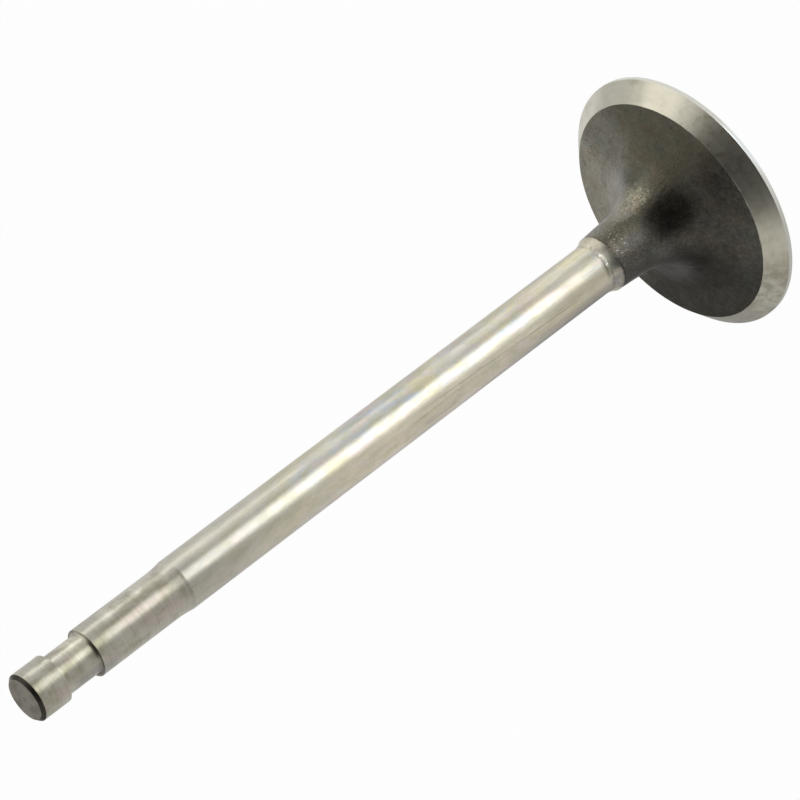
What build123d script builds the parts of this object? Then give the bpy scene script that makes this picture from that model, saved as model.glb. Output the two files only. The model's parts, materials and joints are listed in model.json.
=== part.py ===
from build123d import *
import math
import os

# Poppet valve of an internal-combustion engine: one steel forging, turned and ground except on its neck.
# Millimetres. The valve stands on its combustion face at z = 0 and its stem rises along +Z to the tip.
# Every form is round about the Z axis, so the solid is one outline of (radius, height) points, revolved.

# Whole valve
overall_length = 157.1  # combustion face to tip

# Head, from the combustion face up
head_diameter = 50.0  # over the margin
face_edge_break = 0.2  # chamfer round the combustion face
margin_height = 1.0  # rim between the combustion face and the seat, edge break included
seat_angle = 45.0  # degrees, between the seat face and the combustion face
seat_width = 3.2  # of the ground seat face, measured along a radius

# Forged underside and neck
underside_angle = 4.5  # degrees, rise of the underside towards the neck
neck_sweep_radius = 12.5  # hollow curve that carries the underside into the neck
neck_draft = 4.4  # degrees, taper of the forged neck to each side
neck_top_height = 22.4  # combustion face to the edge where the turned stem begins
neck_top_step = 0.65  # forged neck over ground stem at that edge, on radius

# Ground stem, which runs in the guide
stem_diameter = 9.5
stem_foot_radius = 5.5  # turned hollow curve from the stem out to the forged neck

# Keeper end, turned smaller than the stem, measured down from the tip
keeper_end_length = 29.4  # tip to the end of the straight reduced length
keeper_end_step = 0.3  # stem over keeper end, on radius
run_out_radius = 20.0  # long turned curve from the keeper end out to the stem
tip_land_length = 6.0  # tip to groove
tip_chamfer = 0.6
groove_width = 7.2
groove_depth = 0.75
groove_root_radius = 0.4

# A fillet takes up at most this share of the shorter straight run beside it
most_of_run = 0.95


def arc_rise(radius, step):
    """Height of an arc that leaves the stem's surface along the axis and has moved out by step."""
    return math.sqrt(radius**2 - (radius - step) ** 2)


def crossing(start, direction, other_start, other_direction):
    """Point where two lines of the outline cross."""
    between = other_start - start
    distance = between.cross(other_direction).Z / direction.cross(other_direction).Z
    return start + direction * distance


stem_radius = stem_diameter / 2
neck_top_radius = stem_radius + neck_top_step
stem_foot_height = neck_top_height + arc_rise(stem_foot_radius, neck_top_step)

keeper_end_radius = stem_radius - keeper_end_step
keeper_end_foot_height = overall_length - keeper_end_length
stem_top_height = keeper_end_foot_height - arc_rise(run_out_radius, keeper_end_step)

groove_top_height = overall_length - tip_land_length
groove_foot_height = groove_top_height - groove_width


def head_outline():
    """Combustion face, margin and seat, from the axis to the inner edge of the seat."""
    rim_radius = head_diameter / 2
    seat_rise = seat_width * math.tan(math.radians(seat_angle))
    return Polyline(
        (0, 0),
        (rim_radius - face_edge_break, 0),
        (rim_radius, face_edge_break),
        (rim_radius, margin_height),
        (rim_radius - seat_width, margin_height + seat_rise),
    )


def neck_outline(seat_edge):
    """Forged underside, hollow sweep and tapered neck, from the seat up to the turned stem."""
    neck_top = Vector(neck_top_radius, neck_top_height)
    along_underside = Vector(-1, 0).rotate(Axis.Z, -underside_angle)
    along_neck = Vector(0, 1).rotate(Axis.Z, neck_draft)
    neck_root = crossing(seat_edge, along_underside, neck_top, along_neck)

    half_turn = math.radians(along_underside.get_angle(along_neck) / 2)
    shorter_run = min((seat_edge - neck_root).length, (neck_top - neck_root).length)
    widest_sweep = most_of_run * shorter_run / math.tan(half_turn)
    return FilletPolyline(seat_edge, neck_root, neck_top, radius=min(neck_sweep_radius, widest_sweep))


def stem_outline():
    """Foot curve and ground stem, from the forged neck up to the keeper end's run-out."""
    stem_foot = (stem_radius, stem_foot_height)
    foot_curve = TangentArc(stem_foot, (neck_top_radius, neck_top_height), tangent=(0, -1))
    return foot_curve + Line(stem_foot, (stem_radius, stem_top_height))


def groove_outline():
    """Square-sided keeper groove with rounded roots, from its lower to its upper edge."""
    bottom_radius = keeper_end_radius - groove_depth
    return FilletPolyline(
        (keeper_end_radius, groove_foot_height),
        (bottom_radius, groove_foot_height),
        (bottom_radius, groove_top_height),
        (keeper_end_radius, groove_top_height),
        radius=min(groove_root_radius, most_of_run * groove_depth),
    )


def keeper_end_outline():
    """Run-out, reduced length, groove and tip land, from the ground stem up to the axis at the tip."""
    keeper_end_foot = (keeper_end_radius, keeper_end_foot_height)
    run_out = TangentArc(keeper_end_foot, (stem_radius, stem_top_height), tangent=(0, -1))
    reduced_length = Line(keeper_end_foot, (keeper_end_radius, groove_foot_height))
    tip = Polyline(
        (keeper_end_radius, groove_top_height),
        (keeper_end_radius, overall_length - tip_chamfer),
        (keeper_end_radius - tip_chamfer, overall_length),
        (0, overall_length),
    )
    return run_out + reduced_length + groove_outline() + tip


def engine_valve():
    """The whole valve, one solid of revolution."""
    head = head_outline()
    outline = head + neck_outline(head @ 1) + stem_outline() + keeper_end_outline()
    outline += Line((0, overall_length), (0, 0))
    section = Plane.XZ * make_face(outline.edges())
    return revolve(section, axis=Axis.Z)


os.makedirs("parts", exist_ok=True)
valve = engine_valve()
valve.label = "engine_valve"
export_step(valve, "parts/engine_valve.step")
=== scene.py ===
import json
import math

import bpy
from mathutils import Euler, Matrix, Vector


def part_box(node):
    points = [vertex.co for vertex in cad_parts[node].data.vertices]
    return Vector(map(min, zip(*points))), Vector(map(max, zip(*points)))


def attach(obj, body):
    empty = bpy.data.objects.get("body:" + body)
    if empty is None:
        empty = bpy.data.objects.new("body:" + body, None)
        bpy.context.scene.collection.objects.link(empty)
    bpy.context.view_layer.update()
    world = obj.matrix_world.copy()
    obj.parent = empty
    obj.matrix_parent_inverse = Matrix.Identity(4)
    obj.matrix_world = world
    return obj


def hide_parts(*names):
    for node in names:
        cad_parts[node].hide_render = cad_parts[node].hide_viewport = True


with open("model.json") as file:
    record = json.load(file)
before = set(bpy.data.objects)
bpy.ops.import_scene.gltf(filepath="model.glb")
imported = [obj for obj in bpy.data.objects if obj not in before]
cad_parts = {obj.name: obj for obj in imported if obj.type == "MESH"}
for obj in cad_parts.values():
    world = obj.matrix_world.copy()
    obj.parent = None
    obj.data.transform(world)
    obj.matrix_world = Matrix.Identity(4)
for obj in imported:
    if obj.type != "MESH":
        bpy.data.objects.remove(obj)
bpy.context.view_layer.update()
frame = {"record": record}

bl_info = {
    "name": "Engine valve",
    "version": (1, 0, 0),
    "blender": (4, 5, 0),
    "location": "View3D > Sidebar > Engine valve",
    "description": "Turns a poppet valve with forged, ground and turned finishes, and adds a small studio",
    "category": "Object",
}

NODE = "engine_valve"
PIECE = "valve_body"
MM = 0.001
FINISHES = ("combustion_face", "ground_seat", "forged_skin", "ground_stem", "turned_end", "tip_face")


def mount(name):
    """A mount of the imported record."""
    return next(m for m in frame["record"]["mounts"] if m["name"] == name)


# ---- Sizes and colours ----


def length(name, description, default_mm):
    """A length property, written in millimetres and kept in metres."""
    return bpy.props.FloatProperty(
        name=name, description=description, default=default_mm * MM, unit="LENGTH", precision=5
    )


def angle(name, description, default_degrees):
    """An angle property, written in degrees."""
    return bpy.props.FloatProperty(
        name=name, description=description, default=math.radians(default_degrees), unit="ROTATION"
    )


def colour(name, description, default):
    """A colour property, as linear red, green and blue."""
    return bpy.props.FloatVectorProperty(
        name=name, description=description, default=default, size=3, subtype="COLOR", min=0, max=1
    )


def share(name, description, default):
    """A share from 0 to 1."""
    return bpy.props.FloatProperty(
        name=name, description=description, default=default, min=0, max=1, subtype="FACTOR"
    )


def plain(name, description, default):
    """A number with no unit."""
    return bpy.props.FloatProperty(name=name, description=description, default=default)


class ValveSizes(bpy.types.PropertyGroup):
    """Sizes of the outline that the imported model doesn't give."""

    face_edge_break: length("Face edge break", "Chamfer round the combustion face", 0.2)
    margin_height: length("Margin height", "Rim between the combustion face and the seat", 1.0)
    seat_width: length("Seat width", "Width of the seat along a radius", 3.2)
    seat_angle: angle("Seat angle", "Seat from the combustion face", 45)
    underside_angle: angle("Underside angle", "Rise of the forged underside towards the neck", 4.5)
    neck_sweep_radius: length("Neck sweep", "Hollow curve from the underside into the neck", 12.5)
    neck_draft: angle("Neck draft", "Taper of the forged neck to each side", 4.4)
    neck_top_height: length("Neck top", "Height of the edge where the ground stem begins", 22.4)
    neck_top_step: length("Neck step", "Forged neck over ground stem at that edge", 0.65)
    stem_foot_radius: length("Stem foot", "Ground hollow curve out to the forged neck", 5.5)
    keeper_end_length: length("Keeper end", "Length of the reduced end", 29.4)
    keeper_end_step: length("Keeper end step", "Ground stem over keeper end, on radius", 0.3)
    run_out_radius: length("Run-out", "Long curve from the ground stem in to the keeper end", 20.0)
    tip_land_length: length("Tip land", "Tip to groove", 6.0)
    tip_chamfer: length("Tip chamfer", "Chamfer round the tip", 0.6)
    groove_width: length("Groove width", "Keeper groove along the stem", 7.2)
    groove_depth: length("Groove depth", "Keeper groove below the keeper end", 0.75)
    groove_root_radius: length("Groove root", "Fillets at the bottom of the groove", 0.4)
    edge_rounding: length("Edge rounding", "Round left on every cut edge", 0.05)


class LatheSizes(bpy.types.PropertyGroup):
    """How finely the outline is turned, and how far the forged skin wanders from it."""

    turns: bpy.props.IntProperty(name="Turns", description="Faces round the axis", default=384, min=32)
    wander: length("Wander", "Height of the broad waves of the forged skin", 0.11)
    wander_size: length("Wander size", "Width of the broad waves", 6.0)
    pitting: length("Pitting", "Height of the small lumps and pits", 0.045)
    pitting_size: length("Pitting size", "Width of the small lumps and pits", 1.0)
    line_wander: length("Line wander", "How far the edge of the ground stem wanders along the neck", 0.36)
    line_size: length("Line size", "Width of those waves round the neck", 2.5)
    line_nicks: length("Line nicks", "Depth of the small nicks in that edge", 0.16)
    line_shift: length("Line shift", "How far that edge lies from its drawn height", -0.12)
    line_step: length("Line step", "Step in that edge, where one side of the neck was forged proud", -0.15)
    line_step_side: angle("Line step side", "Azimuth of the middle of that side", -172)
    seed: bpy.props.IntProperty(name="Seed", description="Picks another forged skin", default=3)


class SteelColours(bpy.types.PropertyGroup):
    """Colours of the bare and the scaled steel."""

    ground: colour("Ground stem", "Steel of the ground stem", (0.575, 0.568, 0.51))
    turned: colour("Turned end", "Steel of the keeper end", (0.41, 0.397, 0.34))
    straw: colour("Straw tint", "Ground stem where grinding heat left it straw", (0.615, 0.568, 0.37))
    mauve: colour("Mauve tint", "Ground stem where grinding heat left it mauve", (0.615, 0.522, 0.515))
    blue: colour("Blue tint", "Ground stem where grinding heat left it blue grey", (0.47, 0.515, 0.555))
    seat: colour("Seat", "Steel of the seat and the margin", (0.62, 0.605, 0.52))
    bare: colour("Worn skin", "Forged skin where the scale is worn thin", (0.25, 0.239, 0.206))
    scale: colour("Scale", "Forged skin under its scale", (0.09, 0.085, 0.074))
    # Laid on one side of the underside as a painted warm light
    olive: colour("Olive scale", "Scale that heat turned olive brown, up the neck", (0.14, 0.129, 0.09))
    # Soot also serves as painted shade: on a flank, in a dark patch and down one side of the underside,
    # along the forged top edge, and on the tip chamfer
    soot: colour("Soot", "Dark pits and grain in the scale", (0.05, 0.046, 0.038))


class StudioSizes(bpy.types.PropertyGroup):
    """Camera, lamps, world and floor."""

    camera_back: length("Camera back", "Camera in front of the axis", 580.18)
    camera_height: length("Camera height", "Camera above the floor", 387.39)
    camera_tilt: angle("Camera tilt", "How far the camera looks down", 28.644)
    camera_turn: angle("Camera turn", "How far the camera looks to one side", -0.2132)
    camera_roll: angle("Camera roll", "Turns the picture, so that the stem runs down to the left", -127.026)
    lens: plain("Lens", "Focal length on a 36 mm sensor, in millimetres", 176.13)
    floor_white: share("Floor white", "How much of the floor shows as plain white", 0.975)
    floor_mirrored: share("Floor mirrored", "The same in the steel's reflections", 0.88)
    sky: plain("Sky", "Strength of the soft light from all round", 1.0)


# ---- Node graphs written as Python expressions ----


class Field:
    """An output socket whose operators add Math nodes."""

    def __init__(self, graph, socket):
        self.graph = graph
        self.socket = socket

    def __add__(self, other):
        return self.graph.math("ADD", self, other)

    def __radd__(self, other):
        return self.graph.math("ADD", other, self)

    def __sub__(self, other):
        return self.graph.math("SUBTRACT", self, other)

    def __rsub__(self, other):
        return self.graph.math("SUBTRACT", other, self)

    def __mul__(self, other):
        return self.graph.math("MULTIPLY", self, other)

    def __rmul__(self, other):
        return self.graph.math("MULTIPLY", other, self)

    def __truediv__(self, other):
        return self.graph.math("DIVIDE", self, other)

    def __rtruediv__(self, other):
        return self.graph.math("DIVIDE", other, self)


class Graph:
    """A node tree that is filled by calls."""

    def __init__(self, tree):
        self.tree = tree
        tree.nodes.clear()

    def node(self, kind, settings=None, **sockets):
        """Adds a node, with its settings first and then its sockets, by lower-case name or by number."""
        node = self.tree.nodes.new(kind)
        for key, value in (settings or {}).items():
            setattr(node, key, value)
        for key, value in sockets.items():
            socket = self.find(node.inputs, key)
            if isinstance(value, Field):
                self.tree.links.new(value.socket, socket)
            else:
                socket.default_value = value
        return node

    @staticmethod
    def find(sockets, key):
        """The socket in use with that name, or with that number, as in _0."""
        if key[1:].isdigit():
            return sockets[int(key[1:])]
        return next(s for s in sockets if s.enabled and s.name.lower().replace(" ", "_") == key)

    def output(self, node, key=None):
        """An output as a field: the first one in use, unless it is named."""
        if key is None:
            return Field(self, next(s for s in node.outputs if s.enabled))
        return Field(self, self.find(node.outputs, key))

    def field(self, kind, settings=None, **sockets):
        """The first output of a new node, as a field."""
        return self.output(self.node(kind, settings, **sockets))

    def math(self, operation, *values):
        """A Math node on numbers or fields."""
        numbered = {f"_{i}": value for i, value in enumerate(values)}
        return self.field("ShaderNodeMath", {"operation": operation}, **numbered)

    def vector(self, operation, *values):
        """A Vector Math node, by its first output in use."""
        numbered = {f"_{i}": value for i, value in enumerate(values)}
        return self.field("ShaderNodeVectorMath", {"operation": operation}, **numbered)

    def scaled(self, vector, factor):
        """A vector times a number."""
        return self.field("ShaderNodeVectorMath", {"operation": "SCALE"}, _0=vector, _3=factor)

    def joined(self, x, y, z):
        """A vector from three numbers."""
        return self.field("ShaderNodeCombineXYZ", x=x, y=y, z=z)

    def split(self, vector):
        """The three numbers of a vector."""
        node = self.node("ShaderNodeSeparateXYZ", _0=vector)
        return [self.output(node, f"_{i}") for i in range(3)]

    def ramp(self, value, low, high, start=0.0, end=1.0):
        """Runs from start to end as value goes from low to high, eased, and is held outside."""
        eased_ends = {"interpolation_type": "SMOOTHSTEP"}
        return self.field("ShaderNodeMapRange", eased_ends, _0=value, _1=low, _2=high, _3=start, _4=end)

    def within(self, cosine, near, far):
        """From the cosine of an angle, 1 up to near degrees and 0 beyond far degrees."""
        return self.ramp(cosine, math.cos(math.radians(far)), math.cos(math.radians(near)))

    def mix(self, factor, a, b, blend="MIX"):
        """A mix of two colours."""
        node = self.node(
            "ShaderNodeMix", {"data_type": "RGBA", "blend_type": blend}, _0=factor, _6=a, _7=b
        )
        return self.output(node, "_2")

    def noise(self, place, size, detail, roughness, seed):
        """Noise from 0 to 1 with lumps about size metres wide."""
        return self.field(
            "ShaderNodeTexNoise",
            {"noise_dimensions": "4D"},
            vector=place,
            w=seed,
            scale=1.0 / size,
            detail=detail,
            roughness=roughness,
        )


def added(name, data):
    """A new object in the scene."""
    thing = bpy.data.objects.new(name, data)
    bpy.context.scene.collection.objects.link(thing)
    return thing


def noded_material(name):
    """A new material, and the graph of its nodes."""
    material = bpy.data.materials.new(name)
    material.use_nodes = True
    return material, Graph(material.node_tree)


def rgba(colour_value):
    """A colour with the full alpha that a socket wants."""
    return (*colour_value, 1.0)


# ---- Outline: half of the valve's section, in metres, as (radius, height) ----


def crossing(start, slope, other_start, other_slope):
    """Where two lines cross, each given by a point and its angle from the radius."""
    way = Vector((math.cos(slope), math.sin(slope)))
    other_way = Vector((math.cos(other_slope), math.sin(other_slope)))
    gap = other_start - start
    return start + way * (gap.cross(other_way) / way.cross(other_way))


def arc(centre, start, end, step):
    """Points after start, along the shorter arc to end."""
    first = start - centre
    last = end - centre
    sweep = math.atan2(first.cross(last), first.dot(last))
    pieces = max(2, math.ceil(abs(sweep) * first.length / step))
    return [centre + Matrix.Rotation(sweep * k / pieces, 2) @ first for k in range(1, pieces + 1)]


def rounded(before, corner, after, radius, step):
    """The arc that rounds a corner, with both of its ends."""
    back = (before - corner).normalized()
    ahead = (after - corner).normalized()
    half = back.angle(ahead) / 2
    reach = radius / math.tan(half)
    centre = corner + (back + ahead).normalized() * (radius / math.sin(half))
    start = corner + back * reach
    return [start, *arc(centre, start, corner + ahead * reach, step)]


class Outline:
    """Points of the section, with the finish of each run between them."""

    def __init__(self, start):
        self.points = [start]
        self.finishes = []

    def run(self, end, finish, step=4 * MM):
        """A straight run to end."""
        start = self.points[-1]
        pieces = max(1, math.ceil((end - start).length / step))
        self.follow([start.lerp(end, k / pieces) for k in range(1, pieces + 1)], finish)

    def follow(self, points, finish):
        """A run through points that come after the last one."""
        self.points += points
        self.finishes += [FINISHES.index(finish)] * len(points)

    def soften(self, radius, hold, least_turn):
        """Rounds every corner and puts points close beside it, so that the faces next to it shade flat."""
        most_of_run = 0.4
        points = [self.points[0]]
        finishes = []
        for i in range(1, len(self.points)):
            before, corner = self.points[i - 1], self.points[i]
            finish = self.finishes[i - 1]
            after = self.points[i + 1] if i + 1 < len(self.points) else None
            added = [corner]
            if after is not None and (corner - before).angle(after - corner) > least_turn:
                bend = rounded(before, corner, after, radius, radius / 2)
                lead = bend[0].lerp(before, min(most_of_run, hold / (before - bend[0]).length))
                trail = bend[-1].lerp(after, min(most_of_run, hold / (after - bend[-1]).length))
                added = [lead, *bend, trail]
            points += added
            finishes += [finish] * len(added)
            if len(added) > 1:
                finishes[-1] = self.finishes[i]
        self.points = points
        self.finishes = finishes


def valve_outline(sizes):
    """The whole section, and the places on it that the forged skin hangs on."""
    low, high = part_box(NODE)
    head_radius = (high.x - low.x) / 2
    overall_length = high.z
    stem_radius = mount("stem_in_guide")["dims"]["r_mm"] * MM
    keeper_radius = stem_radius - sizes.keeper_end_step
    groove_radius = keeper_radius - sizes.groove_depth

    seat_rise = sizes.seat_width * math.tan(sizes.seat_angle)
    seat_top = Vector((head_radius - sizes.seat_width, sizes.margin_height + seat_rise))
    neck_top = Vector((stem_radius + sizes.neck_top_step, sizes.neck_top_height))
    neck_corner = crossing(
        seat_top, math.pi - sizes.underside_angle, neck_top, math.pi / 2 + sizes.neck_draft
    )
    sweep = rounded(seat_top, neck_corner, neck_top, sizes.neck_sweep_radius, 0.35 * MM)
    foot_rise = math.sqrt(sizes.neck_top_step * (2 * sizes.stem_foot_radius - sizes.neck_top_step))
    foot_end = Vector((stem_radius, neck_top.y + foot_rise))
    run_out_end = Vector((keeper_radius, overall_length - sizes.keeper_end_length))
    run_out_rise = math.sqrt(sizes.keeper_end_step * (2 * sizes.run_out_radius - sizes.keeper_end_step))
    groove_top = overall_length - sizes.tip_land_length
    groove_foot = groove_top - sizes.groove_width
    groove_corners = [
        Vector((keeper_radius, groove_foot)),
        Vector((groove_radius, groove_foot)),
        Vector((groove_radius, groove_top)),
        Vector((keeper_radius, groove_top)),
    ]

    outline = Outline(Vector((0, 0)))
    outline.run(Vector((head_radius - sizes.face_edge_break, 0)), "combustion_face", step=3 * MM)
    outline.run(Vector((head_radius, sizes.face_edge_break)), "ground_seat")
    outline.run(Vector((head_radius, sizes.margin_height)), "ground_seat")
    outline.run(seat_top, "ground_seat", step=1.2 * MM)
    outline.run(sweep[0], "forged_skin", step=0.35 * MM)
    outline.follow(sweep[1:], "forged_skin")
    outline.run(neck_top, "forged_skin", step=0.3 * MM)
    foot_centre = Vector((stem_radius + sizes.stem_foot_radius, foot_end.y))
    outline.follow(arc(foot_centre, neck_top, foot_end, 0.25 * MM), "ground_stem")
    run_out_start = Vector((stem_radius, run_out_end.y - run_out_rise))
    outline.run(run_out_start, "ground_stem", step=6 * MM)
    run_out_centre = Vector((keeper_radius + sizes.run_out_radius, run_out_end.y))
    outline.follow(arc(run_out_centre, run_out_start, run_out_end, 0.5 * MM), "turned_end")
    outline.run(groove_corners[0], "turned_end")
    for before, corner, after in zip(groove_corners, groove_corners[1:], groove_corners[2:]):
        root = rounded(before, corner, after, sizes.groove_root_radius, 0.1 * MM)
        outline.run(root[0], "turned_end")
        outline.follow(root[1:], "turned_end")
    outline.run(groove_corners[3], "turned_end")
    outline.run(Vector((keeper_radius, overall_length - sizes.tip_chamfer)), "turned_end")
    outline.run(Vector((keeper_radius - sizes.tip_chamfer, overall_length)), "tip_face")
    outline.run(Vector((0, overall_length)), "tip_face", step=1.2 * MM)
    outline.soften(sizes.edge_rounding, hold=0.12 * MM, least_turn=math.radians(7))
    return outline, seat_top, neck_top, foot_end


# Along the section, from each end of the forged skin to its full waves
SKIN_FADE = 1.5 * MM
# From the top of the seat down, how far it follows the waves of the skin above it
SEAT_FADE = 3.6 * MM
# Below the edge of the ground stem, how far the neck follows that edge as it wanders
NECK_FADE = 6 * MM
# How closely a point that slides with that edge keeps to the mean slope of the ground hollow
HOLLOW_LEAN = 0.8
# A run that is flatter than this is taken as this steep where points slide along it
LEAST_RISE = 0.2
# Forged points this close to that edge aren't lifted at all
EDGE_REACH = 0.1 * MM


def eased(value):
    """0 at 0, 1 at 1, held outside."""
    t = min(1.0, max(0.0, value))
    return t * t * (3 - 2 * t)


def skin_weights(outline, seat_top, neck_top, foot_end, seat_angle):
    """How each point moves: lift for a metre of forged skin, and slide for a metre of the ground edge."""
    forged = FINISHES.index("forged_skin")
    last = len(outline.points) - 1
    lifts, slides = [], []
    along_seat = Vector((-math.cos(seat_angle), math.sin(seat_angle))) / math.sin(seat_angle)
    mean_lean = -HOLLOW_LEAN * (neck_top.x - foot_end.x) / (foot_end.y - neck_top.y)
    for i, point in enumerate(outline.points):
        before = outline.points[max(0, i - 1)]
        after = outline.points[min(last, i + 1)]
        way = (after - before).normalized()
        outward = Vector((way.y, -way.x))
        lift = Vector((0, 0))
        slide = Vector((0, 0))
        from_seat = (point - seat_top).length
        is_forged = outline.finishes[min(last - 1, i)] == forged or outline.finishes[max(0, i - 1)] == forged
        below_edge = neck_top.y - point.y
        if is_forged and below_edge > -EDGE_REACH:
            clear_of_seat = eased(from_seat / SKIN_FADE)
            clear_of_edge = eased((below_edge - EDGE_REACH) / SKIN_FADE)
            lift = along_seat.lerp(outward, clear_of_seat) * clear_of_edge
        elif point.y < seat_top.y and point.x > seat_top.x:
            lift = along_seat * max(0.0, 1 - from_seat / SEAT_FADE)
        if 0 <= below_edge < NECK_FADE:
            slide = Vector((mean_lean, 1)) * eased(1 - below_edge / NECK_FADE)
        elif neck_top.y < point.y < foot_end.y:
            weight = (foot_end.y - point.y) / (foot_end.y - neck_top.y)
            slide = Vector((way.x / max(way.y, LEAST_RISE), 1)) * weight
        lifts.append(lift)
        slides.append(slide)
    return lifts, slides


def outline_mesh(sizes):
    """The section as a line of edges, with its finishes and the ways that its points may move."""
    outline, seat_top, neck_top, foot_end = valve_outline(sizes)
    mesh = bpy.data.meshes.new("valve_section")
    rows = len(outline.points)
    mesh.from_pydata([(p.x, 0, p.y) for p in outline.points], [(i, i + 1) for i in range(rows - 1)], [])
    mesh.attributes.new("finish", "INT", "EDGE").data.foreach_set("value", outline.finishes)
    lifts, slides = skin_weights(outline, seat_top, neck_top, foot_end, sizes.seat_angle)
    for name, ways in (("lift", lifts), ("slide", slides)):
        flat = [number for way in ways for number in (way.x, 0, way.y)]
        mesh.attributes.new(name, "FLOAT_VECTOR", "POINT").data.foreach_set("vector", flat)
    return mesh


# ---- Lathe: turns the section, and gives the forged skin its form ----

# The lathe has an input for each of its sizes
LATHE_INPUTS = {key: key.replace("_", " ").capitalize() for key in LatheSizes.__annotations__}
WHOLE_NUMBERS = ("turns", "seed")


def lathe_tree(materials):
    """A tree that turns the section it is given and puts a material on each finish."""
    tree = bpy.data.node_groups.new("valve_lathe", "GeometryNodeTree")
    graph = Graph(tree)
    tree.interface.new_socket("Geometry", in_out="INPUT", socket_type="NodeSocketGeometry")
    tree.interface.new_socket("Geometry", in_out="OUTPUT", socket_type="NodeSocketGeometry")
    for key, name in LATHE_INPUTS.items():
        kind = "NodeSocketInt" if key in WHOLE_NUMBERS else "NodeSocketFloat"
        tree.interface.new_socket(name, in_out="INPUT", socket_type=kind)
    given = graph.node("NodeGroupInput")

    def asked(key):
        return graph.output(given, key)

    section = asked("geometry")
    turns = asked("turns")
    counted = graph.node("GeometryNodeAttributeDomainSize", {"component": "MESH"}, geometry=section)
    rows = graph.output(counted, "point_count")
    index = graph.field("GeometryNodeInputIndex")
    row = graph.math("MODULO", index, rows)
    turn = graph.math("FLOOR", index / rows) / turns * math.tau

    def sampled(value, data_type, domain, at):
        settings = {"data_type": data_type, "domain": domain}
        node = graph.node("GeometryNodeSampleIndex", settings, geometry=section, index=at, value=value)
        return graph.output(node)

    def attribute(name, data_type):
        return graph.field("GeometryNodeInputNamedAttribute", {"data_type": data_type}, name=name)

    def turned(vector):
        """A way in the section, turned round the axis with its column."""
        out, _, up = graph.split(vector)
        return graph.joined(out * graph.math("COSINE", turn), out * graph.math("SINE", turn), up)

    place = turned(sampled(graph.field("GeometryNodeInputPosition"), "FLOAT_VECTOR", "POINT", row))
    lift = turned(sampled(attribute("lift", "FLOAT_VECTOR"), "FLOAT_VECTOR", "POINT", row))
    slide = turned(sampled(attribute("slide", "FLOAT_VECTOR"), "FLOAT_VECTOR", "POINT", row))

    def waves(size, detail, seed, where=place):
        """Waves and pits from -0.5 to 0.5."""
        return graph.noise(where, size, detail, 0.55, asked("seed") + seed) - 0.5

    skin = waves(asked("wander_size"), 1.0, 0.0) * asked("wander") * 2.0
    skin = skin + waves(asked("pitting_size"), 2.0, 10.0) * asked("pitting") * 2.0
    ring_radius = 5 * MM
    nick_size = 0.7 * MM
    ring = turned(graph.joined(ring_radius, 0.0, 0.0))
    line = waves(asked("line_size"), 2.5, 20.0, ring) * asked("line_wander")
    line = line + waves(nick_size, 1.0, 30.0, ring) * asked("line_nicks") + asked("line_shift")
    proud = graph.within(graph.math("COSINE", turn - asked("line_step_side")), 50, 56)
    line = line + proud * asked("line_step")
    offset = graph.vector("ADD", graph.scaled(lift, skin), graph.scaled(slide, line))

    grid = graph.node("GeometryNodeMeshGrid", vertices_x=turns + 1, vertices_y=rows)
    face_row = graph.math("MODULO", index, rows - 1)
    finish = sampled(attribute("finish", "INT"), "INT", "EDGE", face_row)

    def stored(geometry, name, data_type, domain, value):
        settings = {"data_type": data_type, "domain": domain}
        return graph.field(
            "GeometryNodeStoreNamedAttribute", settings, geometry=geometry, name=name, value=value
        )

    body = stored(graph.output(grid), "finish", "INT", "FACE", finish)
    body = stored(body, "drawn_height", "FLOAT", "POINT", graph.split(place)[2])
    body = graph.field("GeometryNodeSetPosition", geometry=body, position=graph.vector("ADD", place, offset))
    body = graph.field("GeometryNodeMergeByDistance", geometry=body, distance=0.001 * MM)
    body = graph.field("GeometryNodeSetShadeSmooth", geometry=body)
    body = graph.field("GeometryNodeRealizeInstances", geometry=body)
    for number, name in enumerate(FINISHES):
        settings = {"data_type": "INT", "operation": "GREATER_EQUAL"}
        chosen = graph.field("FunctionNodeCompare", settings, _2=attribute("finish", "INT"), _3=number)
        body = graph.field(
            "GeometryNodeSetMaterial", geometry=body, selection=chosen, material=materials[name]
        )
    graph.node("NodeGroupOutput", geometry=body)
    return tree


# ---- Finishes ----

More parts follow.
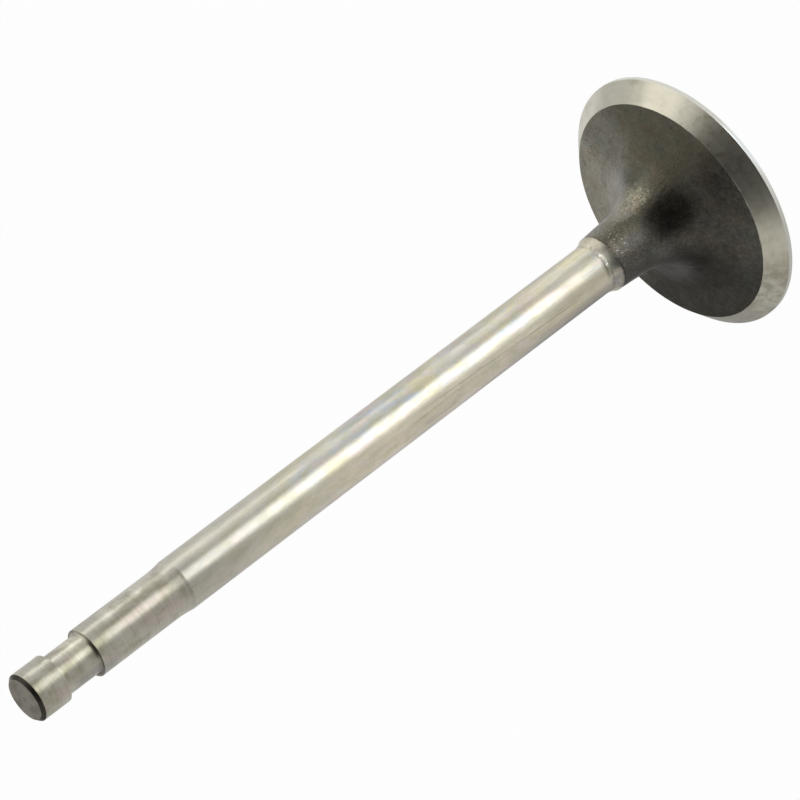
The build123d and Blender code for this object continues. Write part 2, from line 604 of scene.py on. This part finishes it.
# Colours laid over those of the settings, as linear red, green and blue
TINTS = {
    # Painted warm reflection on the stem's lower side
    "peach": (0.62, 0.562, 0.435),
    "honey": (0.62, 0.578, 0.425),
    "rose": (0.63, 0.56, 0.53),
    "tarnish": (0.52, 0.515, 0.38),
    # Painted highlights and painted shade on sides of the stem and keeper end
    "pale": (0.64, 0.62, 0.53),
    "polished": (0.8, 0.76, 0.6),
    "slate": (0.33, 0.32, 0.33),
    "dark_slate": (0.27, 0.26, 0.265),
    # Painted reflections on sides of the ground hollow at the stem's foot
    "hollow_bright": (0.62, 0.59, 0.44),
    "hollow_fawn": (0.47, 0.435, 0.36),
    "hollow_green": (0.29, 0.31, 0.25),
    "hollow_dark": (0.24, 0.235, 0.21),
    "hollow_grey": (0.27, 0.255, 0.255),
    "hollow_light_spot": (0.6, 0.56, 0.41),
    "hollow_dark_spot": (0.3, 0.275, 0.26),
    # Painted shade under the ring at the foot, then painted glints on it
    "hollow_undercut": (0.2, 0.18, 0.13),
    "hollow_glint": (0.95, 0.93, 0.82),
    "grime": (0.28, 0.265, 0.19),
    "end_blush": (0.405, 0.353, 0.315),
    # Painted light and painted shade on sides of the groove
    "groove_bright": (0.68, 0.65, 0.52),
    "groove_dull": (0.24, 0.24, 0.235),
    "seat_cloud": (0.46, 0.44, 0.36),
    # Seat stains that also stand for painted shade, then painted highlights and painted shade by side
    "seat_stain": (0.38, 0.35, 0.235),
    "seat_dark_stain": (0.33, 0.31, 0.25),
    "seat_bright": (0.8, 0.77, 0.63),
    "seat_pale": (0.82, 0.81, 0.72),
    "seat_dull": (0.4, 0.39, 0.36),
    "seat_nick": (0.12, 0.1, 0.08),
    "margin": (0.73, 0.73, 0.68),
    # Painted shade and a painted highlight on sides of the margin
    "margin_dull": (0.42, 0.415, 0.38),
    "margin_bright": (0.92, 0.97, 0.98),
    "face_cloud": (0.34, 0.325, 0.27),
    "tip": (0.37, 0.35, 0.31),
    "tip_dull": (0.22, 0.205, 0.175),
    "tip_middle": (0.13, 0.12, 0.105),
    # Painted sheen on a ridge of the neck
    "ridge": (0.56, 0.53, 0.36),
    "warm_cast": (1.0, 0.95, 0.9),
    "cool_cast": (0.92, 0.98, 1.0),
}


# Painted reflections on sides of the ground hollow at the stem's foot: azimuth, where each is full and where
# it ends in degrees, how much of the tint it takes, and that tint
HOLLOW_PAINTED_SIDES = (
    (-30, 20, 40, 0.6, "hollow_bright"),
    (-72, 6, 30, 0.7, "hollow_fawn"),
    (-97, 6, 18, 0.75, "hollow_green"),
    (-114, 4, 16, 0.75, "hollow_dark"),
    (-148, 14, 28, 0.85, "hollow_grey"),
)
QUARTER_TURN = 0.25


class Steel:
    """One finish: patterns and masks over the valve, and a base colour that is tinted step by step."""

    def __init__(self, graph, colours):
        self.graph = graph
        self.colours = colours
        self.place = graph.output(graph.node("ShaderNodeTexCoord"), "object")
        self.x, self.y, self.z = graph.split(self.place)
        self.radius = graph.math("SQRT", self.x * self.x + self.y * self.y)
        drawn = graph.node("ShaderNodeAttribute", {"attribute_name": "drawn_height"})
        self.drawn_height = graph.output(drawn, "fac")
        self.base = None

    def colour(self, name):
        """A tint, or else a colour of the settings."""
        return rgba(TINTS[name] if name in TINTS else getattr(self.colours, name))

    def start(self, name):
        """Sets the base colour."""
        self.base = self.colour(name)

    def tint(self, amount, name, blend="MIX"):
        """Lays a colour over the base colour, by an amount from 0 to 1."""
        self.base = self.graph.mix(amount, self.base, self.colour(name), blend)

    def noise(self, size_mm, seed, detail, roughness, z_scale=None):
        """Noise from 0 to 1. Its lumps are longer up the stem where z_scale is under 1."""
        place = self.graph.joined(self.x, self.y, self.z * z_scale) if z_scale else self.place
        return self.graph.noise(place, size_mm * MM, detail, roughness, seed)

    def marks(self, along, pitch_mm, drift_mm, seed):
        """Lines round the axis, from 0 to 1: a pitch apart along a distance, drifting slowly round it."""
        slow = pitch_mm / drift_mm
        where = self.graph.joined(self.x * slow, self.y * slow, along)
        return self.graph.noise(where, pitch_mm * MM, 1.0, 0.5, seed)

    def side(self, azimuth, near, far):
        """1 within near degrees of an azimuth round the axis, 0 beyond far degrees from it."""
        turn = math.radians(azimuth)
        cosine = (self.x * math.cos(turn) + self.y * math.sin(turn)) / self.radius
        return self.graph.within(cosine, near, far)

    def up(self, low_mm, high_mm, start=0.0, end=1.0):
        """Runs from start to end as the height goes from low to high, in millimetres."""
        return self.graph.ramp(self.z, low_mm * MM, high_mm * MM, start, end)

    def drawn(self, low_mm, high_mm):
        """From 0 to 1 on the height that a point had before the edge of the ground stem wandered."""
        return self.graph.ramp(self.drawn_height, low_mm * MM, high_mm * MM)

    def metal(self, shade, roughness, height, anisotropic=0.0):
        """Bare steel: colour, roughness and a relief height in metres vary; the rest is fixed."""
        base = self.graph.mix(1.0, self.base, self.graph.joined(shade, shade, shade), "MULTIPLY")
        normal = self.graph.field("ShaderNodeBump", _0=1.0, _1=1.0, height=height)
        return self.graph.field(
            "ShaderNodeBsdfPrincipled",
            base_color=base,
            roughness=roughness,
            normal=normal,
            metallic=1.0,
            anisotropic=anisotropic,
            anisotropic_rotation=QUARTER_TURN if anisotropic else 0.0,
        )


def new_material(name, build, colours):
    """A material whose nodes come from build."""
    material, graph = noded_material(name)
    graph.node("ShaderNodeOutputMaterial", surface=build(Steel(graph, colours)))
    return material


def stem_finish(steel):
    """Ground stem: fine marks round it, long streaks and faint tints of heat, the wheel's last mark, and
    painted highlights, reflections and shade on its sides and round its foot.
    """
    ramp = steel.graph.ramp
    fine = steel.marks(steel.z, pitch_mm=0.1, drift_mm=3, seed=1)
    coarse = steel.marks(steel.z, pitch_mm=0.4, drift_mm=5, seed=2)
    streak = steel.noise(0.9, seed=23, detail=3.0, roughness=0.6, z_scale=0.07)
    cloud = steel.noise(2.4, seed=3, detail=3.0, roughness=0.55, z_scale=0.24)
    blush = steel.noise(3.0, seed=4, detail=3.0, roughness=0.55, z_scale=0.24)
    patch = steel.noise(3.4, seed=21, detail=4.0, roughness=0.6, z_scale=0.5)
    tarnish = steel.noise(1.3, seed=27, detail=3.0, roughness=0.6, z_scale=0.45)
    grain = steel.noise(0.45, seed=28, detail=2.0, roughness=0.6, z_scale=0.7)
    mist = steel.noise(1.8, seed=35, detail=4.0, roughness=0.6, z_scale=0.35)

    # Tints of heat in random patches and near the foot, a little darker towards the keeper end, and on the
    # stem's sides a painted warm reflection, painted highlights and painted shade
    steel.start("ground")
    steel.tint(ramp(patch, 0.43, 0.59, 0.0, 0.8), "straw")
    steel.tint(ramp(blush, 0.5, 0.62, 0.0, 0.9), "blue")
    steel.tint(ramp(cloud, 0.5, 0.62, 0.0, 0.8), "mauve")
    # Painted warm reflection on the lower side of the stem
    steel.tint(steel.side(-132, 10, 46) * 0.8, "peach")
    steel.tint(ramp(tarnish, 0.5, 0.62, 0.0, 0.55), "tarnish")
    steel.tint(ramp(tarnish, 0.48, 0.37, 0.0, 0.5), "rose")
    steel.tint(steel.up(50, 27, 0.0, 0.4), "honey")
    steel.tint(steel.up(85, 128, 0.0, 0.85), "turned")
    # Painted highlights: a streak beside the main highlight down the lower stem, and a band just under the
    # main highlight
    steel.tint(steel.side(-38, 12, 36) * steel.up(80, 115) * 0.6, "pale")
    steel.tint(steel.side(-108, 4, 14) * steel.up(30, 40) * steel.up(110, 80) * 0.5, "polished")
    foot = steel.drawn(24.9, 24.1)
    shank = 1.0 - foot
    # Painted shade along the stem's lower edge, darkest towards the foot
    steel.tint(steel.side(178, 6, 30) * steel.up(80, 40, 0.35, 1.0) * shank * 0.85, "slate")
    steel.tint(steel.side(-170, 12, 44) * steel.up(60, 28) * shank * 0.5, "dark_slate")

    # Ground hollow at the foot: painted reflections by side and random light and dark spots, then a beaded
    # ring where the wheel stopped, with painted shade under it and painted glints on it
    # Painted reflections, laid side by side round the hollow
    for azimuth, near, far, amount, name in HOLLOW_PAINTED_SIDES:
        steel.tint(steel.side(azimuth, near, far) * foot * amount, name)
    blotch = steel.noise(0.9, seed=33, detail=3.0, roughness=0.6)
    steel.tint(ramp(blotch, 0.5, 0.62) * foot * 0.32, "hollow_light_spot")
    steel.tint(ramp(blotch, 0.48, 0.38) * foot * 0.25, "hollow_dark_spot")
    bead = steel.noise(0.5, seed=24, detail=1.0, roughness=0.5)
    ring = steel.drawn(23.9, 24.2) * steel.drawn(24.8, 24.5)
    # Painted shade just under the ring, on one side only
    painted_under_shade = steel.drawn(24.5, 24.7) * steel.drawn(25.6, 24.9) * steel.side(-108, 8, 26)
    steel.tint(painted_under_shade * 0.6, "hollow_undercut")
    steel.tint(ring * ramp(bead, 0.3, 0.7) * 0.4, "bare")
    # Painted glints on the ring, only on the side of the main highlight
    steel.tint(ring * steel.side(-82, 8, 26) * ramp(bead, 0.46, 0.54) * 0.9, "hollow_glint")
    # Dark line along the forged edge: part scale, part painted shade that is heavier on one side
    steel.tint(steel.drawn(22.7, 22.45) * (0.25 + 0.35 * steel.side(-105, 20, 52)), "scale")

    # Faint scratches along the stem, and a long one that leans round it
    scratch = steel.noise(1.4, seed=25, detail=1.0, roughness=0.5, z_scale=0.02) - 0.5
    scratch = ramp(steel.graph.math("ABSOLUTE", scratch), 0.012, 0.004) * ramp(patch, 0.45, 0.55)
    foot_side = math.radians(-121)
    foot_height = 40 * MM
    radians_per_metre = 7.6
    turn = steel.graph.math("ARCTAN2", steel.y, steel.x)
    leaning = turn - foot_side - (steel.z - foot_height) * radians_per_metre
    off_line = steel.graph.math("ABSOLUTE", leaning)
    scored = ramp(off_line, 0.03, 0.01) * steel.up(31, 36) * steel.up(74, 62)
    scored = scored * ramp(grain, 0.36, 0.56, 0.35, 1.0)

    shade = 0.76 + 0.05 * fine + 0.06 * coarse + 0.24 * streak + 0.18 * grain - 0.16 * scratch
    shade = shade + 0.45 * (mist - 0.5) - 0.34 * scored
    roughness = 0.29 + 0.04 * coarse + 0.05 * cloud + 0.08 * streak + 0.08 * tarnish - 0.04 * foot
    height = fine * 0.8e-6 + coarse * 1.4e-6 + streak * 8e-6 + patch * 2.5e-5
    height = height + tarnish * 6e-6 + ring * bead * 1.6e-4
    return steel.metal(shade, roughness, height, anisotropic=0.8)


def end_finish(steel):
    """Turned keeper end: tool marks round it, heavier than on the stem, with a painted streak of light on
    one side and painted light and shade on sides of the groove.
    """
    ramp = steel.graph.ramp
    fine = steel.marks(steel.z, pitch_mm=0.14, drift_mm=3, seed=5)
    coarse = steel.marks(steel.z, pitch_mm=0.4, drift_mm=6, seed=6)
    bands = steel.marks(steel.z, pitch_mm=1.6, drift_mm=10, seed=7)
    grime = steel.noise(2.6, seed=8, detail=3.0, roughness=0.6, z_scale=0.5)
    blush = steel.noise(3.0, seed=26, detail=2.0, roughness=0.5, z_scale=0.3)
    steel.start("turned")
    steel.tint(ramp(grime, 0.4, 0.68, 0.0, 0.9), "grime")
    steel.tint(ramp(blush, 0.5, 0.66, 0.0, 0.8), "end_blush")
    shoulder = steel.up(138, 141) * steel.up(144, 143.8)
    # Painted streak of light on one side of the keeper end, broken up by the grime
    painted_highlight_side = steel.side(-38, 12, 36) * steel.up(151.5, 149, 0.3, 1.0) * (1.0 - 0.8 * shoulder)
    steel.tint(painted_highlight_side * ramp(grime, 0.62, 0.42, 0.25, 0.65), "pale")
    # Painted light on one side of the groove, and painted shade on the other side lower down
    groove = steel.up(143.95, 144.1) * steel.up(149, 146.5)
    steel.tint(groove * steel.side(-54, 26, 46) * 0.45, "groove_bright")
    painted_shade_side = steel.side(-162, 16, 36) * steel.up(140, 142.5)
    steel.tint(painted_shade_side * steel.up(150, 148.5) * 0.5, "groove_dull")
    cuts = 0.1 * ramp(fine, 0.35, 0.65) + 0.1 * ramp(coarse, 0.32, 0.68)
    shade = 0.83 + cuts + 0.14 * bands
    roughness = 0.3 + 0.08 * fine + 0.08 * grime
    height = fine * 2.5e-6 + coarse * 5e-6 + grime * 1e-5
    return steel.metal(shade, roughness, height, anisotropic=0.72)


def seat_finish(steel):
    """Ground seat and margin: bright, with fine marks round the axis and a few nicks, stains laid heavier
    where painted shade falls, and painted highlights and painted shade by side.
    """
    ramp = steel.graph.ramp
    slope = steel.z + steel.radius * 0.7  # one distance that grows all the way up the margin and the seat
    fine = steel.marks(slope, pitch_mm=0.1, drift_mm=5, seed=9)
    coarse = steel.marks(slope, pitch_mm=0.4, drift_mm=12, seed=10)
    cloud = steel.noise(4, seed=11, detail=3.0, roughness=0.55)
    stain = steel.noise(1.7, seed=29, detail=4.0, roughness=0.65)
    nick = steel.noise(0.7, seed=31, detail=1.0, roughness=0.5)
    steel.start("seat")
    steel.tint(ramp(cloud, 0.45, 0.7, 0.0, 0.7), "seat_cloud")
    # Stains, heavier on the side where they also stand for painted shade
    steel.tint(ramp(stain, 0.47, 0.66) * (0.2 + 0.5 * steel.side(-76, 6, 24)), "seat_stain")
    # Painted highlights on two sides of the seat, and painted shade on a third
    steel.tint(steel.side(-45, 4, 13) * 0.55, "seat_bright")
    steel.tint(steel.side(-6, 8, 22) * 0.35, "seat_pale")
    steel.tint(steel.side(152, 12, 34) * 0.4, "seat_dull")
    # Stains kept to one side, where they also stand for painted shade
    steel.tint(steel.side(-162, 6, 24) * ramp(stain, 0.4, 0.6) * 0.6, "seat_dark_stain")
    margin = steel.up(1.05, 0.9)
    steel.tint(margin * 0.8, "margin")
    # Painted shade and a painted highlight on sides of the margin
    steel.tint(margin * steel.side(-150, 20, 50) * 0.75, "margin_dull")
    steel.tint(margin * steel.side(-87, 4, 15) * 0.7, "margin_bright")
    steel.tint(ramp(nick, 0.77, 0.83, 0.0, 0.8), "seat_nick")
    shade = 0.84 + 0.16 * fine + 0.16 * coarse
    roughness = 0.3 + 0.06 * coarse + 0.06 * cloud
    height = fine * 1.5e-6 + coarse * 3e-6 + cloud * 6e-6
    return steel.metal(shade, roughness, height, anisotropic=0.3)


def face_finish(steel):
    """Combustion face: faced off in rings round the axis."""
    fine = steel.marks(steel.radius, pitch_mm=0.15, drift_mm=12, seed=12)
    coarse = steel.marks(steel.radius, pitch_mm=0.9, drift_mm=30, seed=13)
    cloud = steel.noise(8, seed=14, detail=3.0, roughness=0.55)
    steel.start("turned")
    steel.tint(steel.graph.ramp(cloud, 0.4, 0.7, 0.0, 0.7), "face_cloud")
    shade = 0.74 + 0.26 * fine + 0.26 * coarse
    roughness = 0.38 + 0.1 * fine + 0.06 * cloud
    height = fine * 3e-6 + coarse * 6e-6
    return steel.metal(shade, roughness, height, anisotropic=0.6)


def tip_finish(steel):
    """Tip: ground flat, dull, with a rubbed centre, and a smoother chamfer painted dark for the dark
    reflection it catches.
    """
    ramp = steel.graph.ramp
    grain = steel.noise(0.3, seed=15, detail=2.0, roughness=0.6)
    cloud = steel.noise(2.2, seed=16, detail=2.0, roughness=0.5)
    middle = ramp(steel.radius, 0.2 * MM, 0.8 * MM, 1.0, 0.0)
    chamfer = ramp(steel.radius, 3.82 * MM, 3.9 * MM)
    steel.start("tip")
    steel.tint(ramp(cloud, 0.38, 0.62, 0.0, 0.75), "tip_dull")
    steel.tint(middle * 0.4, "tip_middle")
    # The chamfer is painted dark all round, standing in for the dark reflection it catches
    steel.tint(chamfer * (0.75 + 0.4 * grain), "soot")
    shade = 0.88 + 0.24 * grain
    roughness = 0.42 + 0.1 * cloud - 0.08 * chamfer
    return steel.metal(shade, roughness, grain * 4e-6)


def skin_finish(steel):
    """Forged skin: dark scale over grit, thin in random patches, with bright specks near the neck, a painted
    sheen, and painted light and shade on its sides.
    """
    ramp = steel.graph.ramp
    broad = steel.noise(9, seed=17, detail=2.0, roughness=0.5)
    mottle = steel.noise(2.2, seed=18, detail=4.0, roughness=0.6)
    grit = steel.noise(0.32, seed=19, detail=3.0, roughness=0.65)
    specks = steel.noise(0.3, seed=20, detail=0.0, roughness=0.5)
    fibre = steel.noise(0.9, seed=22, detail=4.0, roughness=0.65)
    hue = steel.noise(3.2, seed=32, detail=4.0, roughness=0.6)
    cloud = steel.noise(3.8, seed=36, detail=4.0, roughness=0.62)
    neck = steel.up(6, 20)

    # Scale, worn thin in random patches, with a painted sheen mixed into the wear on one side of the neck
    # and the far side of the underside painted lighter
    rubbed_and_sheen = steel.side(-20, 22, 40) * steel.up(8.5, 12) * steel.up(19, 14)
    rubbed_and_sheen = rubbed_and_sheen * (0.3 + 0.7 * fibre + 0.7 * grit)
    worn_and_painted_light = 0.5 + (broad - 0.5) * 0.14 + (mottle - 0.5) * 0.45 + (fibre - 0.5) * 0.6
    # The far side of the underside is painted lighter
    worn_and_painted_light = worn_and_painted_light + rubbed_and_sheen * 0.85 + steel.side(42, 30, 80) * 0.34 - neck * 0.12
    steel.start("scale")
    steel.tint(ramp(worn_and_painted_light, 0.36, 0.95), "bare")
    # Olive tint painted on the lit side of the underside
    steel.tint(steel.side(-45, 14, 45) * (0.6 - 0.4 * rubbed_and_sheen), "olive")
    steel.tint(ramp(mottle, 0.5, 0.8, 0.0, 0.5), "soot")

    # Painted shade on a flank, in a dark patch on the neck and down one side; a painted sheen on a ridge;
    # bright specks, heavier on one side as painted glints; and a dark top edge, heavier on one side as
    # painted shade
    painted_shade_flank = steel.side(-60, 8, 24) * steel.up(6.5, 8.5) * steel.up(13, 10)
    painted_shade_underside = steel.side(160, 30, 62) * steel.up(15, 11) * steel.up(5.2, 7.4, 0.15, 0.95)
    painted_dark_patch = steel.side(-98, 16, 36) * steel.up(10.5, 12.5) * steel.up(16.5, 13.5)
    # Painted shade on a flank, in a dark patch on the neck and down one side of the underside
    steel.tint(painted_shade_flank * 0.4 + painted_shade_underside + painted_dark_patch * 0.5, "soot")
    # Painted gritty sheen on a ridge of the neck
    ridge = steel.side(-36, 10, 27) * steel.up(8, 11) * steel.up(15.5, 12.5)
    gleam = ramp(grit, 0.42, 0.62, 0.15, 1.0) * ramp(fibre, 0.35, 0.6, 0.3, 1.0)
    steel.tint(ridge * gleam * 0.42, "ridge")
    # Bright specks near the neck, heavier on one side where they stand for painted glints
    cluster = ramp(fibre, 0.45, 0.6) * steel.drawn(17, 20) * (0.15 + 0.35 * steel.side(-72, 16, 38))
    steel.tint(ramp(specks, 0.6, 0.75) * cluster, "ground")
    # Dark top edge, part scale and part painted shade, heavier on one side
    steel.tint(steel.drawn(21.9, 22.15) * (0.3 + 0.5 * steel.side(-105, 20, 52)), "soot")
    steel.tint(ramp(hue, 0.48, 0.64), "warm_cast", "MULTIPLY")
    steel.tint(ramp(hue, 0.5, 0.36), "cool_cast", "MULTIPLY")

    # Painted light and painted shade on sides of the underside, over the grit and random clouds, and a
    # little darker towards the top of the neck
    shade = (1.0 + (grit - 0.5) * (1.4 + 1.0 * neck)) * (1.0 - 0.1 * steel.up(12, 16))
    shade = shade * (1.0 - 0.34 * steel.side(160, 30, 66))
    shade = shade * (1.0 + 0.2 * steel.side(62, 24, 56) * steel.up(6.5, 5))
    shade = shade * (1.0 - 0.3 * steel.side(172, 14, 36) * steel.up(6, 7.5))
    shade = shade * (1.0 + 0.62 * (cloud - 0.5))
    shade = shade * (1.0 + 0.28 * steel.side(50, 14, 34) * steel.up(4.9, 4.5))
    shade = shade * (1.0 - 0.2 * steel.side(24, 12, 28) * steel.up(4.6, 4.9) * steel.up(7.5, 6))
    shade = shade * (1.0 - 0.22 * steel.side(-160, 30, 62) * steel.up(5.6, 6.8) * steel.up(13, 9))
    roughness = 0.25 + 0.1 * mottle + 0.08 * grit + 0.1 * steel.up(7.5, 5)
    height = mottle * 2e-5 + fibre * 1.5e-5 + grit * (1.2e-5 + 2e-5 * neck)
    return steel.metal(shade, roughness, height)


FINISH_BUILDERS = {
    "combustion_face": face_finish,
    "ground_seat": seat_finish,
    "forged_skin": skin_finish,
    "ground_stem": stem_finish,
    "turned_end": end_finish,
    "tip_face": tip_finish,
}


class VALVE_OT_turn(bpy.types.Operator):
    """Turns the valve from its section, forges its skin and finishes each surface"""

    bl_idname = "valve.turn"
    bl_label = "Turn the valve"

    def execute(self, context):
        scene = context.scene
        colours = scene.steel_colours
        lathe = scene.lathe_sizes
        materials = {name: new_material(name, FINISH_BUILDERS[name], colours) for name in FINISHES}
        tree = lathe_tree(materials)
        piece = added(PIECE, outline_mesh(scene.valve_sizes))
        modifier = piece.modifiers.new("lathe", "NODES")
        modifier.node_group = tree
        sockets = {s.name: s.identifier for s in tree.interface.items_tree if s.in_out == "INPUT"}
        for key, name in LATHE_INPUTS.items():
            modifier[sockets[name]] = getattr(lathe, key)
        context.view_layer.update()
        depsgraph = context.evaluated_depsgraph_get()
        turned = bpy.data.meshes.new_from_object(piece.evaluated_get(depsgraph), depsgraph=depsgraph)
        turned.name = PIECE
        turned.materials.pop(index=0)  # the empty slot of the drawn section
        piece.modifiers.clear()
        piece.data = turned
        if not turned.polygons:
            raise RuntimeError("the lathe made no valve")
        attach(piece, "root")
        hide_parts(NODE)
        return {"FINISHED"}


# ---- Studio ----


def pointing(azimuth, elevation):
    """Unit vector towards an azimuth and elevation in degrees."""
    a = math.radians(azimuth)
    e = math.radians(elevation)
    return Vector((math.cos(a) * math.cos(e), math.sin(a) * math.cos(e), math.sin(e)))


CARD_HEIGHT = 0.5 * MM
CARD_SPREAD = math.radians(150)
# Name, azimuth in degrees, where it starts and ends from the axis and its width in metres, and radiance
FLOOR_CARDS = (
    ("head_card", -80, 0.0255, 0.036, 0.05, 1.6),
    ("neck_card", 5, 0.03, 0.044, 0.04, 1.5),
    ("front_card_foot", -82, 0.043, 0.062, 0.034, 5.6),
    ("front_card_near", -82, 0.062, 0.1, 0.06, 3.4),
    ("front_card_middle", -82, 0.1, 0.21, 0.115, 3.0),
    ("front_card_far", -82, 0.21, 0.5, 0.165, 3.5),
    ("right_card_near", -8, 0.06, 0.2, 0.045, 0.75),
    ("right_card_middle", -8, 0.2, 0.28, 0.075, 1.0),
    ("right_card_far", -10, 0.28, 0.6, 0.11, 5.0),
    ("right_card_last", -10, 0.6, 1.4, 0.6, 0.85),
)


def floor_card(name, azimuth, inner, outer, width, radiance):
    """A white card that lies on the floor and shines up at the valve."""
    data = bpy.data.lights.new(name, "AREA")
    data.shape = "RECTANGLE"
    data.size = outer - inner
    data.size_y = width
    data.energy = radiance * math.pi * width * (outer - inner)
    data.spread = CARD_SPREAD
    card = added(name, data)
    middle = pointing(azimuth, 0) * (inner + outer) / 2
    card.location = middle + Vector((0, 0, CARD_HEIGHT))
    card.rotation_euler = (math.pi, 0, math.radians(azimuth))
    card.visible_camera = False


TENT_COLOUR = (1.0, 0.985, 0.95)
TENT_PLAIN = 0.45
# Bright parts of the tent: azimuth, elevation, where each is full and where it ends in degrees, and radiance
TENT_LIGHTS = (
    (-8, 24, 10, 40, 0.8),
    (80, -8, 10, 26, 1.25),
    (-152, 38, 14, 42, 0.34),
    (60, 50, 12, 32, 0.16),
    (50, 28, 10, 26, 0.1),
    (74, 36, 18, 40, 0.1),
    (146, 12, 14, 34, 0.13),
)
# Its dark parts, with the share of the light that each takes; the widest is its opening
TENT_SHADES = (
    (106, 6, 12, 28, 0.65),
    (-96, 30, 39, 55.5, 0.925),
    (-100, 84, 16, 36, 0.25),
)


def add_world(studio):
    """A pale tent round the valve, open and dark on the camera's side."""
    world = bpy.data.worlds.new("studio")
    bpy.context.scene.world = world
    world.use_nodes = True
    graph = Graph(world.node_tree)
    way = graph.output(graph.node("ShaderNodeTexCoord"), "generated")

    def lobe(azimuth, elevation, near, far):
        """1 within near degrees of a direction, 0 beyond far degrees from it."""
        middle = pointing(azimuth, elevation)
        node = graph.node("ShaderNodeVectorMath", {"operation": "DOT_PRODUCT"}, _0=way, _1=middle)
        return graph.within(graph.output(node, "value"), near, far)

    shade = TENT_PLAIN
    for *stretch, radiance in TENT_LIGHTS:
        shade = shade + radiance * lobe(*stretch)
    for *stretch, taken in TENT_SHADES:
        shade = shade * (1.0 - taken * lobe(*stretch))
    tent = graph.field("ShaderNodeBackground", color=rgba(TENT_COLOUR), strength=shade * studio.sky)
    white = graph.field("ShaderNodeBackground", color=(1, 1, 1, 1), strength=0.985)
    camera_ray = graph.output(graph.node("ShaderNodeLightPath"), "is_camera_ray")
    shown = graph.field("ShaderNodeMixShader", _0=camera_ray, _1=tent, _2=white)
    graph.node("ShaderNodeOutputWorld", surface=shown)


def add_floor(studio):
    """A plain white floor that keeps a pale shadow, and a painted shadow behind the head in what the steel
    mirrors of it.
    """
    half = 4.0
    low = -0.02 * MM
    corners = [(-half, -half, low), (half, -half, low), (half, half, low), (-half, half, low)]
    mesh = bpy.data.meshes.new("floor")
    mesh.from_pydata(corners, [], [(0, 1, 2, 3)])
    floor = added("floor", mesh)
    material, graph = noded_material("floor_paper")
    paper = graph.field("ShaderNodeBsdfDiffuse", color=(0.8, 0.8, 0.8, 1))
    white = graph.field("ShaderNodeEmission", color=(1, 1, 1, 1), strength=1.0)
    rays = graph.node("ShaderNodeLightPath")
    shown = graph.output(rays, "is_camera_ray") * studio.floor_white
    place = graph.output(graph.node("ShaderNodeTexCoord"), "object")

    # A painted shadow in the floor's reflections: round a spot behind the head, the steel mirrors more of
    # the paper and less of its white
    painted_shadow_spot = pointing(125, 0) * (45 * MM)
    away = graph.node("ShaderNodeVectorMath", {"operation": "DISTANCE"}, _0=place, _1=painted_shadow_spot)
    open_share = graph.ramp(graph.output(away, "value"), 10 * MM, 60 * MM, 0.12, 1.0)
    mirrored = graph.output(rays, "is_glossy_ray") * open_share * studio.floor_mirrored
    surface = graph.field("ShaderNodeMixShader", _0=shown + mirrored, _1=paper, _2=white)
    graph.node("ShaderNodeOutputMaterial", surface=surface)
    mesh.materials.append(material)


def add_camera(studio):
    """The camera, turned so that the stem runs down to the left."""
    data = bpy.data.cameras.new("camera")
    data.lens = studio.lens
    data.sensor_width = 36.0
    camera = added("camera", data)
    place = Matrix.Translation((0, -studio.camera_back, studio.camera_height))
    aim = Euler((math.pi / 2 - studio.camera_tilt, 0, studio.camera_turn)).to_matrix().to_4x4()
    camera.matrix_world = place @ aim @ Matrix.Rotation(studio.camera_roll, 4, "Z")
    bpy.context.scene.camera = camera


class VALVE_OT_studio(bpy.types.Operator):
    """Adds the floor, the soft light and the camera"""

    bl_idname = "valve.studio"
    bl_label = "Add the studio"

    def execute(self, context):
        studio = context.scene.studio_sizes
        add_camera(studio)
        add_floor(studio)
        add_world(studio)
        for card in FLOOR_CARDS:
            floor_card(*card)
        context.scene.view_settings.view_transform = "Standard"
        return {"FINISHED"}


class VALVE_PT_sidebar(bpy.types.Panel):
    """Lists the valve's operators"""

    bl_idname = "VALVE_PT_sidebar"
    bl_label = "Engine valve"
    bl_space_type = "VIEW_3D"
    bl_region_type = "UI"
    bl_category = "Engine valve"

    def draw(self, context):
        for operator in OPERATORS:
            self.layout.operator(operator.bl_idname)


GROUPS = {
    "valve_sizes": ValveSizes,
    "lathe_sizes": LatheSizes,
    "steel_colours": SteelColours,
    "studio_sizes": StudioSizes,
}
OPERATORS = (VALVE_OT_turn, VALVE_OT_studio)
CLASSES = (*GROUPS.values(), *OPERATORS, VALVE_PT_sidebar)


def register():
    for cls in CLASSES:
        bpy.utils.register_class(cls)
    for name, group in GROUPS.items():
        setattr(bpy.types.Scene, name, bpy.props.PointerProperty(type=group))


def unregister():
    for name in GROUPS:
        delattr(bpy.types.Scene, name)
    for cls in reversed(CLASSES):
        bpy.utils.unregister_class(cls)


def main():
    register()
    bpy.ops.valve.turn()
    bpy.ops.valve.studio()


if __name__ == "__main__":
    main()
